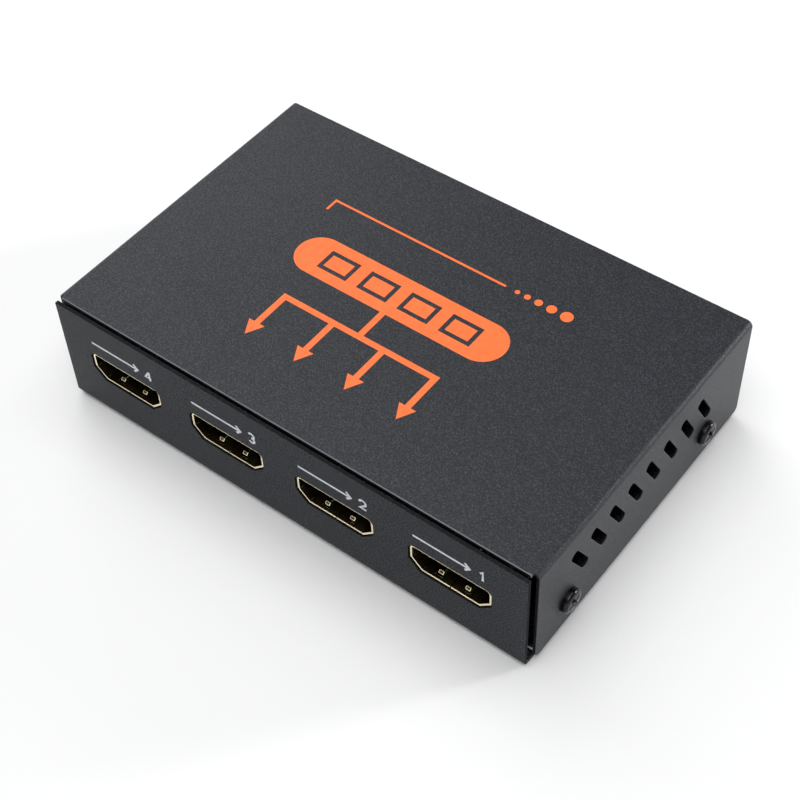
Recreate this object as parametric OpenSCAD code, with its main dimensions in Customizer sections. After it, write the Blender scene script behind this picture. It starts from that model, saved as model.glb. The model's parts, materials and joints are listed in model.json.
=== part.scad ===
// Video splitter: one input at the rear, four outputs at the front, in a folded sheet-metal case.
// Frame: +Z up, the outputs face -Y and +X is to the right of a person who faces them.
// Origin: on the ground, under the middle of the case. All lengths are millimetres.

/* [Case] */
// Width over the cover's sides
body_w = 94; // [85:0.5:110]
// Depth from the front panel's face to the cover's back edge
body_d = 61.2; // [60:0.2:80]
// Height from the ground to the cover's top
body_h = 22.6; // [20.6:0.1:32]
// Sheet thickness of the cover
cover_t = 0.7; // [0.5:0.1:0.9]
// Sheet thickness of the tray
tray_t = 0.7; // [0.5:0.1:0.9]
// Outer radius of the cover's two long bends
cover_bend_r = 1.1; // [1:0.1:2]
// Outer radius of the tray's bends
tray_bend_r = 1.8; // [1:0.1:2]
// Height of the cover's side edges above the ground
side_lift = 1.4; // [0.5:0.1:2]
// Radius of the cover sides' lower corners
side_corner_r = 1; // [0.5:0.1:2]
// Distance from the front panel's back to the front edge of the cover's top
front_gap = 0.5; // [0.3:0.1:0.8]
// How much farther back the cover's bends and sides start than its top
side_set_back = 0.6; // [0.2:0.1:0.8]
// How far the front panel's ends stand inside the cover's sides
panel_inset = 0.8; // [0.3:0.1:1]
// How far the front panel's top lies below the cover's top
panel_drop = 0.3; // [0.1:0.1:0.8]
// Play between the cover and the tray's parts inside it
case_fit = 0.2; // [0.1:0.05:0.4]
// Height of the tray's side flanges
flange_h = 10; // [9.8:0.1:11]
// Distance of the flanges' ends from the front and rear faces
flange_end = 3; // [2.5:0.1:5]
// Length of the relief cut at each flange end
flange_relief = 0.6; // [0.4:0.1:1]

/* [Vents] */
// Slots in each side of the cover
vent_count = 8; // [3:1:9]
// Width of a slot
vent_w = 1.8; // [1:0.1:2]
// Distance between the centres of a slot's round ends
vent_l = 5.8; // [3:0.1:7]
// Lean of a slot from upright, in degrees
vent_tilt = 31; // [0:1:40]
// Distance between neighbouring slots
vent_pitch = 5.05; // [4:0.05:5.4]
// Height of the slots' middles
vent_z = 14.2; // [14:0.1:16]
// Place of the row's middle, behind the case's middle
vent_y = -0.3; // [-2:0.1:2]

/* [Case screws] */
// Diameter of a case screw's shank
screw_d = 2.5; // [2.2:0.1:2.8]
// Length of a case screw's shank
screw_l = 5; // [4:0.1:5.4]
// Diameter of a case screw's head
screw_head_d = 4.3; // [4:0.1:4.8]
// Height of a case screw's head
screw_head_h = 1.2; // [1:0.1:1.6]
// Radius round the head's outer edge
screw_edge_r = 0.5; // [0.2:0.05:0.5]
// Length of a screw's cross recess
cross_l = 2.6; // [2:0.1:2.6]
// Width of the cross recess
cross_w = 0.7; // [0.5:0.05:0.8]
// Depth of the cross recess
cross_depth = 0.7; // [0.5:0.05:0.8]
// Height of the case screws' axes
screw_z = 7.3; // [7:0.1:7.8]
// Distance of the front case screws from the front face
screw_front = 9.9; // [8:0.1:12]
// Distance between the front and the rear case screws
screw_span = 39.4; // [34:0.1:42]
// Gap between a shank and the cover's hole
screw_hole_gap = 0.2; // [0.15:0.05:0.4]
// Gap between a shank and its threaded hole, threads left out
thread_gap = 0.06; // [0.05:0.01:0.1]
// Gap under a screw's head
seat_gap = 0.05; // [0.02:0.01:0.1]
// Length of the drawn collar behind a threaded hole
collar_l = 1; // [0.6:0.1:1.4]
// Wall of the drawn collar
collar_wall = 0.7; // [0.5:0.1:1]

/* [Circuit board] */
// Thickness of the board
board_t = 1.6; // [1.2:0.1:2]
// Gap between the board's ends and the panels
board_end_gap = 1.3; // [1:0.1:1.6]
// Gap between the board's sides and the case screws' tips
screw_tip_gap = 1; // [0.6:0.1:1.1]
// Room between the tallest part on the board, the power jack, and the cover
head_room = 2; // [1:0.1:3]
// Diameter of a standoff
standoff_d = 5.5; // [5:0.1:6]
// Diameter of a board screw's shank
board_screw_d = 2.9; // [2.5:0.1:3]
// Length of a board screw's shank
board_screw_l = 5; // [4:0.1:7]
// Diameter of a board screw's head
board_screw_head_d = 5.4; // [4.6:0.1:5.6]
// Height of a board screw's head
board_screw_head_h = 1.9; // [1.5:0.1:2.2]
// Gap round a board screw in the board
board_hole_gap = 0.15; // [0.1:0.05:0.3]
// Distance of the board's holes from its sides
board_hole_inset = 4; // [3.5:0.1:5]
// Distance of the front board holes from the front face
board_hole_front = 19.5; // [18.5:0.1:21]
// Distance of the rear board holes from the rear face
board_hole_rear = 6.5; // [5.5:0.1:9]

/* [Video sockets] */
// Distance of the outermost outputs from the case's sides
socket_side = 14.45; // [14:0.05:16]
// Distance of the input from the case's left side
input_side = 27; // [23:0.5:33]
// Width of a socket's mouth
mouth_w = 14; // [13.9:0.05:14.1]
// Height of a socket's mouth
mouth_h = 4.55; // [4.5:0.05:4.7]
// Radius of the mouth's upper corners
mouth_corner_r = 0.6; // [0.4:0.1:0.9]
// Width of the mouth's lower slopes
slope_w = 1.85; // [1.5:0.05:2.2]
// Height of the mouth's lower slopes
slope_h = 1.8; // [1.5:0.05:2]
// Sheet thickness of a socket's shell
shell_t = 0.4; // [0.3:0.05:0.5]
// Length of a socket's shell
shell_l = 11; // [10.5:0.1:12]
// How far the shell's rim stands behind the panel's face
socket_recess = 0.25; // [0.1:0.05:0.4]
// Gap between a shell and its cut-out in the panel
cutout_gap = 0.18; // [0.1:0.02:0.3]
// Width of the seam in the shell's lower wall
seam_w = 0.12; // [0.1:0.02:0.2]
// Distance between the two spring fingers of a wall
finger_spread = 4.9; // [4.2:0.1:5.4]
// Width of a spring finger
finger_w = 0.9; // [0.8:0.1:1.4]
// Thickness of a spring finger
finger_t = 0.22; // [0.18:0.01:0.28]
// How far a finger's crest stands inside the wall
finger_rise = 0.65; // [0.5:0.05:0.75]
// Distance of a finger's crest from the rim
finger_crest = 1.5; // [1.4:0.1:1.8]
// Distance of a finger's root from the rim
finger_root = 6.4; // [5:0.1:7]
// Gap between a finger and its window in the wall
finger_gap = 0.2; // [0.15:0.05:0.4]
// Width of a shell's solder leg
leg_w = 1.5; // [1.2:0.1:2]
// Distance of the front legs from the rim
leg_front = 4; // [3.5:0.1:5]
// Distance of the rear legs from the rim
leg_rear = 9; // [8:0.1:9.5]
// How far the legs reach below the board
leg_reach = 0.8; // [0.5:0.1:1.2]
// Gap round a solder leg in the board
leg_gap = 0.2; // [0.1:0.05:0.3]
// Width of the insulator's tongue
tongue_w = 11; // [10.6:0.1:11.2]
// Thickness of the tongue
tongue_t = 1.7; // [1.5:0.1:1.8]
// How far the tongue's middle stands above the mouth's middle
tongue_lift = 0.25; // [0.1:0.05:0.3]
// Distance of the tongue's end from the rim
tongue_front = 1.7; // [1.5:0.1:2.2]
// Length of the insulator's block behind the tongue
block_l = 3; // [2.4:0.1:3.6]
// Play between the insulator's block and the shell
block_gap = 0.05; // [0.03:0.01:0.08]
// Contacts in the upper row; the lower row has one fewer
contact_count = 10; // [6:1:10]
// Distance between the contacts of a row
contact_pitch = 1; // [0.9:0.05:1]
// Width of a contact
contact_w = 0.34; // [0.25:0.01:0.36]
// Thickness of a contact
contact_t = 0.2; // [0.15:0.01:0.25]
// Gap between a contact and its groove
contact_gap = 0.03; // [0.02:0.01:0.04]
// Distance of the contacts' ends from the tongue's end
contact_set_back = 0.5; // [0.3:0.1:1]
// Length of a contact's foot on the board
contact_foot = 1; // [0.8:0.1:1.4]

/* [Power jack] */
// Distance of the jack from the case's right side
jack_side = 21; // [19:0.5:23]
// Width of the jack's housing
jack_w = 9; // [8.8:0.1:9.4]
// Height of the jack's housing
jack_h = 11; // [10.6:0.1:11.3]
// Length of the jack's housing
jack_l = 14.2; // [14:0.1:15]
// Height of the jack's bore above the board
jack_axis = 6.5; // [6.3:0.1:6.7]
// Diameter of the bore for the plug
jack_bore_d = 6.4; // [6:0.1:6.6]
// Depth of the bore
jack_bore_l = 9.6; // [9:0.1:10]
// Diameter of the round hole in the rear panel
jack_hole_d = 8; // [7.4:0.1:8.6]
// Gap between the jack's face and the rear panel
jack_gap = 0.2; // [0.1:0.05:0.4]
// Diameter of the centre pin
pin_d = 2; // [1.8:0.1:2.5]
// Distance of the pin's tip from the jack's face
pin_tip = 1.2; // [0.8:0.1:2]
// Width of the jack's solder tags
tag_w = 2.2; // [2:0.1:2.4]
// Thickness of the jack's metal parts
tag_t = 0.4; // [0.3:0.05:0.5]
// Gap round the jack's metal parts
tag_gap = 0.15; // [0.1:0.05:0.2]
// How far the spring's crest stands inside the bore
spring_rise = 0.3; // [0.2:0.05:0.5]
// Distance of the spring's crest from the jack's face
spring_crest = 3; // [2.8:0.1:3.6]
// Depth of the spring's root under the bore
spring_root_drop = 0.8; // [0.6:0.1:1]
// Depth of the housing's pocket under the bore, where the spring gives way
spring_room = 2.4; // [2.2:0.1:2.5]
// Distance between the spring's tag and the pin's tag
tag_space = 1; // [0.8:0.1:1.4]

/* [Power light] */
// Distance of the light from the jack
led_space = 14; // [12:0.5:16]
// Diameter of the light's lens
led_d = 3; // [2.8:0.1:3.2]
// Length of the lens's straight part
led_l = 3.3; // [3:0.1:4]
// Height of the light's axis above the board
led_axis = 4.5; // [4:0.1:6]
// Width of the collar round the lens's base
led_collar = 0.4; // [0.3:0.1:0.6]
// Thickness of the collar
led_collar_t = 0.8; // [0.6:0.1:1]
// Gap round the lens in the rear panel
led_gap = 0.1; // [0.05:0.05:0.2]
// Thickness of the light's two legs
led_leg_t = 0.5; // [0.4:0.05:0.6]
// Distance between the light's two legs
led_leg_pitch = 2.54; // [2:0.01:2.6]
// Length of the legs before they turn down
led_leg_l = 2; // [1.5:0.1:3]

/* [Chips] */
// Side of the splitter chip's body
chip_w = 12; // [10:0.5:13]
// Height of the splitter chip's body
chip_h = 1.4; // [1:0.1:2]
// Leads on each side of the splitter chip
chip_leads = 16; // [8:1:18]
// Distance between the splitter chip's leads
chip_pitch = 0.65; // [0.5:0.01:0.7]
// Reach of a lead from its chip's body
lead_reach = 1; // [0.8:0.1:1.2]
// Thickness of a chip's leads
lead_t = 0.2; // [0.15:0.01:0.25]
// Width of a chip's leads
lead_w = 0.3; // [0.2:0.01:0.4]
// Length of the memory chip
memory_l = 4.9; // [4.6:0.1:5.2]
// Width of the memory chip
memory_w = 3.9; // [3.6:0.1:4.2]
// Height of the memory chip
memory_h = 1.5; // [1.2:0.1:1.8]
// Distance between the memory chip's leads
memory_pitch = 1.27; // [1.1:0.01:1.27]
// Distance of the memory chip to the left of the splitter chip
memory_out = 15; // [14:0.5:17]
// Distance of the memory chip in front of the splitter chip
memory_front = 5; // [4:0.5:7]
// Length of the crystal's can
crystal_l = 11; // [10:0.1:11.4]
// Width of the crystal's can
crystal_w = 4.6; // [4.2:0.1:5]
// Height of the crystal's can
crystal_h = 3.5; // [3:0.1:4]
// Distance of the crystal to the left of the splitter chip
crystal_out = 16; // [15.5:0.5:18]
// Distance of the crystal behind the splitter chip
crystal_back = 4; // [3:0.5:8]
// Length of the voltage regulator
regulator_l = 6.5; // [6:0.1:6.8]
// Width of the voltage regulator
regulator_w = 3.5; // [3.2:0.1:3.8]
// Height of the voltage regulator
regulator_h = 1.6; // [1.4:0.1:2]
// Width of the regulator's wide tab
regulator_tab_w = 3.2; // [2.8:0.1:3.6]
// Distance between the regulator's leads
regulator_pitch = 2.3; // [2:0.1:2.5]
// Distance of the regulator to the left of the jack
regulator_space = 9; // [7.5:0.5:10]
// Distance of the regulator from the rear face
regulator_rear = 23.6; // [21.4:0.2:26]
// Side of the power inductor
inductor_w = 7; // [6:0.1:7.4]
// Height of the power inductor
inductor_h = 4; // [3:0.1:5]
// Cut-off corner of the power inductor
inductor_corner = 1.4; // [0.8:0.1:2]
// Distance of the inductor to the right of the jack's middle
inductor_shift = 1; // [0:0.5:1.5]
// Distance of the inductor from the rear face
inductor_rear = 25.6; // [24:0.2:28]
// Diameter of a bulk capacitor's can
can_d = 6.3; // [5:0.1:6.6]
// Height of a bulk capacitor's can
can_h = 6.4; // [5:0.1:8]
// Height of a bulk capacitor's plastic foot
can_foot_h = 1.2; // [0.8:0.1:1.6]
// Distance of the first bulk capacitor to the left of the jack
can_space = 9.5; // [9:0.5:11]
// Distance of the first bulk capacitor from the rear face
can_rear = 13.6; // [12.6:0.1:15]
// Distance of the second bulk capacitor from the board's right side
can_edge = 5.5; // [5:0.25:6]
// Distance of the second bulk capacitor from the rear face
side_can_rear = 21.6; // [20:0.2:23]
// Length of a ceramic capacitor
ceramic_l = 1.6; // [1.2:0.1:2]
// Width and height of a ceramic capacitor
ceramic_w = 0.8; // [0.6:0.1:1]
// Ceramic capacitors along each side of the splitter chip
ceramic_count = 4; // [2:1:4]
// Gap between the splitter chip's leads and the ceramic capacitors
ceramic_gap = 1; // [0.6:0.1:1.5]
// Distance between ceramic capacitors
ceramic_pitch = 2.6; // [2.4:0.1:3]
// Length of a chip resistor
resistor_l = 1; // [0.8:0.1:1.2]
// Width of a chip resistor
resistor_w = 0.5; // [0.4:0.05:0.6]
// Height of a chip resistor
resistor_h = 0.35; // [0.3:0.05:0.4]
// Chip resistors behind each output
resistor_count = 8; // [4:1:8]
// Distance between chip resistors
resistor_pitch = 1.4; // [1.2:0.1:1.5]

/* [Hidden] */
$fn = 48;
// Overlap of shapes that are joined, and overshoot of cuts
cut = 1;
output_count = 4;
// Turn of the case screws' crosses, in degrees
screw_turn = 25;
front_y = -body_d / 2;
rear_y = body_d / 2;
side_x = body_w / 2;
front_panel_h = body_h - panel_drop;
rear_panel_h = body_h - cover_t - case_fit;
panel_x = side_x - panel_inset;
inner_x = side_x - cover_t - case_fit;
floor_x = inner_x - tray_bend_r;
cover_front_y = front_y + tray_t + front_gap;
screw_front_y = front_y + screw_front;
screw_rear_y = screw_front_y + screw_span;
board_x = side_x - screw_l - screw_tip_gap;
board_front_y = front_y + tray_t + board_end_gap;
board_rear_y = rear_y - tray_t - board_end_gap;
standoff_h = body_h - cover_t - head_room - jack_h - board_t - tray_t;
board_z = tray_t + standoff_h;
board_top = board_z + board_t;
board_hole_x = board_x - board_hole_inset;
board_hole_y = [front_y + board_hole_front, rear_y - board_hole_rear];
socket_pitch = (body_w - 2 * socket_side) / (output_count - 1);
input_x = -side_x + input_side;
socket_z = board_top + shell_t + mouth_h / 2;
mouth_to_board = shell_t + mouth_h / 2;
finger_flat = 0.4;
finger_tip_l = 0.35;
finger_tip_rise = 0.2;
window_front = finger_crest - finger_flat / 2 - finger_tip_l - finger_gap;
leg_top = -mouth_h / 2 + slope_h + leg_w;
tongue_top = tongue_lift + tongue_t / 2;
tongue_low = tongue_lift - tongue_t / 2;
contact_front = tongue_front + contact_set_back;
tail_y = shell_l + contact_t;
jack_x = side_x - jack_side;
jack_face_y = rear_y - tray_t - jack_gap;
jack_z = board_top + jack_axis;
jack_bore_r = jack_bore_d / 2;
spring_z = -jack_bore_r - spring_root_drop;
spring_root = jack_bore_l;
spring_flat = 0.6;
spring_tip_l = 1;
spring_tip_drop = 0.6;
spring_tag_y = spring_root + tag_gap;
pin_tag_y = spring_tag_y + tag_t + tag_space;
tag_reach = board_t + leg_reach;
led_x = jack_x - led_space;
led_z = board_top + led_axis;
led_base = led_d / 2 + led_l;
chip_at = [0, 0];
memory_at = chip_at + [-memory_out, -memory_front];
crystal_at = chip_at + [-crystal_out, crystal_back];
regulator_at = [jack_x - regulator_space, rear_y - regulator_rear];
inductor_at = [jack_x + inductor_shift, rear_y - inductor_rear];
jack_can_at = [jack_x - can_space, rear_y - can_rear];
side_can_at = [board_x - can_edge, rear_y - side_can_rear];
can_at = [jack_can_at, side_can_at];
ceramic_ring = chip_w / 2 + lead_reach + ceramic_gap + ceramic_w / 2;
resistor_row = 2.2;
case_colour = "#3f4043";
cover_colour = "#45464a";
screw_colour = "#1b1b1d";
gold_colour = "#d9c48d";
black_colour = "#161616";
tin_colour = "#c9c9c4";

// Case

// A flat-topped outline, its lower corners round; u is across and v is up from zero.
module channel(w, h, r) {
    translate([-w / 2, r]) square([w, h - r]);
    translate([-w / 2 + r, 0]) square([w - 2 * r, h]);
    for (side = [-1, 1]) translate([side * (w / 2 - r), r]) circle(r);
}

// The sheet between two such outlines: an open channel with a flat floor.
module sheet_channel(w, h, r, t) {
    difference() {
        channel(w, h, r);
        translate([0, t]) channel(w - 2 * t, h, r - t);
    }
}

// Lays an outline in the YZ plane and pulls it along X, centred.
module pull_x(l) {
    rotate([90, 0, 90]) linear_extrude(l, center = true) children();
}

// Lays an outline in the XZ plane and pulls it from one Y to another.
module pull_y(from_y, to_y) {
    translate([0, to_y, 0]) rotate([90, 0, 0]) linear_extrude(to_y - from_y) children();
}

// A cylinder along X through the whole case.
module cross_bore(d, y, z) {
    translate([0, y, z]) rotate([0, 90, 0]) cylinder(d = d, h = body_w + 2 * cut, center = true);
}

// One leaning slot with round ends, cut through both sides.
module vent(y) {
    translate([0, y, vent_z]) rotate([vent_tilt, 0, 0]) {
        cube([body_w + 2 * cut, vent_w, vent_l], center = true);
        for (end = [-1, 1]) translate([0, 0, end * vent_l / 2]) {
            rotate([0, 90, 0]) cylinder(d = vent_w, h = body_w + 2 * cut, center = true);
        }
    }
}

// What rounding takes off a corner at the origin, for a body that lies towards +u and +v.
module corner_waste(r) {
    difference() {
        translate([-cut, -cut]) square(r + cut);
        translate([r, r]) circle(r);
    }
}

module cover() {
    side_front_y = cover_front_y + side_set_back;
    color(cover_colour) difference() {
        pull_y(cover_front_y, rear_y) translate([0, body_h]) mirror([0, 1]) {
            sheet_channel(body_w, body_h - side_lift, cover_bend_r, cover_t);
        }
        for (side = [0, 1]) mirror([side, 0, 0]) {
            translate([side_x - cover_bend_r, cover_front_y - cut, -cut]) {
                cube([cover_bend_r + cut, side_set_back + cut, body_h + 2 * cut]);
            }
        }
        translate([0, side_front_y, side_lift]) pull_x(body_w + 2 * cut) corner_waste(side_corner_r);
        translate([0, rear_y, side_lift]) mirror([0, 1, 0]) {
            pull_x(body_w + 2 * cut) corner_waste(side_corner_r);
        }
        for (i = [0 : vent_count - 1]) vent(vent_y + (i - (vent_count - 1) / 2) * vent_pitch);
        for (y = [screw_front_y, screw_rear_y]) cross_bore(screw_d + 2 * screw_hole_gap, y, screw_z);
    }
}

// The bent strip of floor, front panel and the lower rear panel, before its sides are cut.
module tray_strip() {
    difference() {
        pull_x(2 * panel_x) sheet_channel(body_d, front_panel_h, tray_bend_r, tray_t);
        translate([-body_w, 0, rear_panel_h]) cube([2 * body_w, body_d, body_h]);
    }
}

// Cuts the strip's sides: the rear panel goes between the cover's sides, the floor between the flanges.
module tray_sides() {
    for (side = [0, 1]) mirror([side, 0, 0]) {
        translate([inner_x, front_y + tray_t, -cut]) cube([body_w, body_d, body_h + 2 * cut]);
        translate([floor_x, front_y + flange_end, -cut]) {
            cube([body_w, body_d - 2 * flange_end, body_h + 2 * cut]);
        }
    }
}

// The low flanges along both sides of the floor, with the drawn collars for the case screws.
module tray_flanges() {
    flange_start = front_y + flange_end + flange_relief;
    pull_y(flange_start, -flange_start) difference() {
        sheet_channel(2 * inner_x, flange_h, tray_bend_r, tray_t);
        translate([-floor_x + cut, -cut]) square([2 * (floor_x - cut), flange_h]);
    }
    for (side = [-1, 1], y = [screw_front_y, screw_rear_y]) {
        translate([side * (inner_x - (tray_t + collar_l) / 2), y, screw_z]) rotate([0, 90, 0]) {
            cylinder(d = screw_d + 2 * collar_wall, h = tray_t + collar_l, center = true);
        }
    }
}

module base_tray() {
    color(case_colour) difference() {
        union() {
            difference() {
                tray_strip();
                tray_sides();
            }
            tray_flanges();
        }
        for (y = [screw_front_y, screw_rear_y]) cross_bore(screw_d + 2 * thread_gap, y, screw_z);
        for (i = [1 : output_count]) {
            at_output(i) socket_cutout();
        }
        at_input() socket_cutout();
        translate([jack_x, rear_y, jack_z]) rotate([90, 0, 0]) {
            cylinder(d = jack_hole_d, h = 2 * cut, center = true);
        }
        translate([led_x, rear_y, led_z]) rotate([90, 0, 0]) {
            cylinder(d = led_d + 2 * led_gap, h = 2 * cut, center = true);
        }
    }
}

// Screws

// A pan head with a round outer edge, standing on the ground plane.
module pan_head(d, h, edge_r) {
    rotate_extrude() intersection() {
        square([d, h]);
        union() {
            square([d / 2, h - edge_r]);
            square([d / 2 - edge_r, h]);
            translate([d / 2 - edge_r, h - edge_r]) circle(edge_r);
        }
    }
}

// A cross-recessed pan-head screw: its head stands on the ground plane, its shank hangs below.
module pan_screw(d, l, head_d, head_h) {
    difference() {
        union() {
            pan_head(head_d, head_h, screw_edge_r);
            translate([0, 0, -l]) cylinder(d = d, h = l + head_h / 2);
        }
        for (turn = [0, 90]) rotate(turn) translate([-cross_l / 2, -cross_w / 2, head_h - cross_depth]) {
            cube([cross_l, cross_w, cross_depth + cut]);
        }
    }
}

module case_screw(side, y) {
    color(screw_colour) translate([side * (side_x + seat_gap), y, screw_z]) {
        rotate([0, side * 90, 0]) rotate(screw_turn) pan_screw(screw_d, screw_l, screw_head_d, screw_head_h);
    }
}

// Circuit board and what carries it

module at_board_holes() {
    for (side = [-1, 1], y = board_hole_y) translate([side * board_hole_x, y, 0]) children();
}

module board_standoffs() {
    color("#c8b568") at_board_holes() translate([0, 0, tray_t]) difference() {
        cylinder(d = standoff_d, h = standoff_h);
        translate([0, 0, -cut]) cylinder(d = board_screw_d + 2 * thread_gap, h = standoff_h + 2 * cut);
    }
}

module board_screws() {
    color(tin_colour) at_board_holes() translate([0, 0, board_top]) {
        pan_screw(board_screw_d, board_screw_l, board_screw_head_d, board_screw_head_h);
    }
}

module circuit_board() {
    color("#1f5b36") difference() {
        translate([-board_x, board_front_y, board_z]) {
            cube([2 * board_x, board_rear_y - board_front_y, board_t]);
        }
        at_board_holes() cylinder(d = board_screw_d + 2 * board_hole_gap, h = body_h);
        for (i = [1 : output_count]) at_output(i) leg_slots();
        at_input() leg_slots();
        at_jack() for (y = [spring_tag_y, pin_tag_y]) {
            translate([-tag_w / 2 - tag_gap, y - tag_gap, -body_h]) {
                cube([tag_w + 2 * tag_gap, tag_t + 2 * tag_gap, body_h]);
            }
        }
        at_led() for (side = [-1, 1]) {
            translate([side * led_leg_pitch / 2, led_base + led_leg_l - led_leg_t / 2, -body_h]) {
                cylinder(d = 2 * led_leg_t, h = body_h);
            }
        }
    }
}

// Video sockets: local zero is the middle of the rim, +Y goes in.

module at_output(i) {
    translate([((output_count + 1) / 2 - i) * socket_pitch, front_y + socket_recess, socket_z]) children();
}

module at_input() {
    translate([input_x, rear_y - socket_recess, socket_z]) rotate(180) children();
}

// The mouth's outline moved outwards by grow: round upper corners, sloped lower ones.
module mouth_outline(grow) {
    half_w = mouth_w / 2 + grow;
    half_h = mouth_h / 2 + grow;
    corner_r = mouth_corner_r + grow;
    slope_l = norm([slope_w, slope_h]);
    slope_top = -mouth_h / 2 + slope_h - grow * (slope_l - slope_h) / slope_w;
    slope_end = mouth_w / 2 - slope_w + grow * (slope_l - slope_w) / slope_h;
    polygon([
        [-half_w, half_h - corner_r], [-half_w, slope_top], [-slope_end, -half_h],
        [slope_end, -half_h], [half_w, slope_top], [half_w, half_h - corner_r],
        [half_w - corner_r, half_h], [-half_w + corner_r, half_h]
    ]);
    for (side = [-1, 1]) translate([side * (half_w - corner_r), half_h - corner_r]) circle(corner_r);
}

// The hole for a socket's shell in a panel.
module socket_cutout() {
    pull_y(-socket_recess - cut, tray_t + cut) mouth_outline(shell_t + cutout_gap);
}

// A leaf bent up from a wall at zero height: root, crest and tip in the YZ plane.
module finger_outline() {
    crest_back = finger_crest + finger_flat / 2;
    crest_front = finger_crest - finger_flat / 2;
    tip = crest_front - finger_tip_l;
    root = finger_root + finger_gap;
    upper = [[root, 0], [crest_back, finger_rise], [crest_front, finger_rise], [tip, finger_tip_rise]];
    count = len(upper);
    lower = [for (i = [count - 1 : -1 : 0]) upper[i] - [0, finger_t]];
    polygon(concat(upper, lower));
}

// The four corners of a shell where its solder legs stand.
module at_legs() {
    for (side = [-1, 1], y = [leg_front, leg_rear]) {
        translate([side * (mouth_w + shell_t) / 2, y, 0]) children();
    }
}

module leg_slots() {
    at_legs() translate([-shell_t / 2 - leg_gap, -leg_w / 2 - leg_gap, -body_h]) {
        cube([shell_t + 2 * leg_gap, leg_w + 2 * leg_gap, body_h]);
    }
}

module socket_shell() {
    window_w = finger_w + 2 * finger_gap;
    color(gold_colour) {
        difference() {
            pull_y(0, shell_l) mouth_outline(shell_t);
            pull_y(-cut, shell_l + cut) mouth_outline(0);
            translate([-seam_w / 2, -cut, -mouth_h]) cube([seam_w, shell_l + 2 * cut, mouth_h]);
            for (side = [-1, 1]) translate([side * finger_spread / 2, window_front, -mouth_h]) {
                translate([-window_w / 2, 0, 0]) cube([window_w, finger_root - window_front, 2 * mouth_h]);
            }
        }
        for (side = [-1, 1], wall = [0, 1]) mirror([0, 0, wall]) {
            translate([side * finger_spread / 2, 0, -mouth_h / 2]) pull_x(finger_w) finger_outline();
        }
        at_legs() translate([-shell_t / 2, -leg_w / 2, -mouth_to_board - board_t - leg_reach]) {
            cube([shell_t, leg_w, mouth_to_board + board_t + leg_reach + leg_top]);
        }
    }
}

// Where the contacts stand across the socket: the upper row, or the lower one between its gaps.
function contact_xs(count) = [for (i = [0 : count - 1]) (i - (count - 1) / 2) * contact_pitch];

// The two rows: where each contact's strip starts in height, and how many there are.
contact_rows = [[tongue_top - contact_t, contact_count], [tongue_low, contact_count - 1]];

module socket_insulator() {
    groove_w = contact_w + 2 * contact_gap;
    color(black_colour) difference() {
        union() {
            pull_y(shell_l - block_l, shell_l) mouth_outline(-block_gap);
            translate([-tongue_w / 2, tongue_front, tongue_low]) {
                cube([tongue_w, shell_l - block_l / 2 - tongue_front, tongue_t]);
            }
        }
        for (row = contact_rows, x = contact_xs(row[1])) {
            translate([x - groove_w / 2, contact_front - contact_gap, row[0] - contact_gap]) {
                cube([groove_w, shell_l, contact_t + 2 * contact_gap]);
            }
        }
    }
}

// A contact in the YZ plane: strip along the tongue, tail down behind the block, foot on the board.
module contact_outline(strip_z) {
    translate([contact_front, strip_z]) square([tail_y + contact_t - contact_front, contact_t]);
    translate([tail_y, -mouth_to_board]) square([contact_t, strip_z + contact_t + mouth_to_board]);
    translate([tail_y, -mouth_to_board]) square([contact_foot, contact_t]);
}

module socket_contacts() {
    color("#c9a84e") for (row = contact_rows, x = contact_xs(row[1])) {
        translate([x, 0, 0]) pull_x(contact_w) contact_outline(row[0]);
    }
}

// Power jack: local zero is the middle of its mouth, +Y goes in.

module at_jack() {
    translate([jack_x, jack_face_y, jack_z]) rotate(180) children();
}

module power_jack_housing() {
    slot_w = tag_w + 2 * tag_gap;
    spring_slot_start = spring_crest - spring_flat - spring_tip_l - tag_gap;
    color(black_colour) at_jack() difference() {
        translate([-jack_w / 2, 0, -jack_axis]) cube([jack_w, jack_l, jack_h]);
        translate([0, -cut, 0]) rotate([-90, 0, 0]) cylinder(d = jack_bore_d, h = jack_bore_l + cut);
        rotate([-90, 0, 0]) cylinder(d = pin_d + 2 * tag_gap, h = jack_l);
        translate([-slot_w / 2, spring_slot_start, -jack_bore_r - spring_room]) {
            cube([slot_w, spring_tag_y - spring_slot_start, jack_bore_r + spring_room - pin_d]);
        }
        translate([-slot_w / 2, spring_tag_y - tag_gap, -jack_axis - cut]) {
            cube([slot_w, tag_t + 2 * tag_gap, jack_axis + cut - pin_d]);
        }
        translate([-slot_w / 2, pin_tag_y - tag_gap, -jack_axis - cut]) {
            cube([slot_w, jack_l, jack_axis + 2 * cut + pin_d / 2]);
        }
    }
}

module power_jack_pin() {
    color(tin_colour) at_jack() {
        translate([0, pin_tip + pin_d / 2, 0]) {
            rotate([-90, 0, 0]) cylinder(d = pin_d, h = pin_tag_y + tag_t - pin_tip - pin_d / 2);
            sphere(d = pin_d);
        }
        translate([-tag_w / 2, pin_tag_y, -jack_axis - tag_reach]) {
            cube([tag_w, tag_t, jack_axis + tag_reach + pin_d / 2]);
        }
    }
}

// The leaf that presses on the plug: from its root up to a crest in the bore, then down to its tip.
module power_jack_spring() {
    crest_z = -jack_bore_r + spring_rise;
    crest_back = spring_crest + spring_flat / 2;
    crest_front = spring_crest - spring_flat / 2;
    upper = [
        [spring_root, spring_z], [crest_back, crest_z], [crest_front, crest_z],
        [crest_front - spring_tip_l, crest_z - spring_tip_drop]
    ];
    count = len(upper);
    lower = [for (i = [count - 1 : -1 : 0]) upper[i] - [0, tag_t]];
    color("#d8b463") at_jack() pull_x(tag_w) polygon(concat(upper, lower));
}

module power_jack_tag() {
    color("#d8b463") at_jack() translate([-tag_w / 2, spring_tag_y, -jack_axis - tag_reach]) {
        cube([tag_w, tag_t, jack_axis + tag_reach + spring_z]);
    }
}

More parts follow.
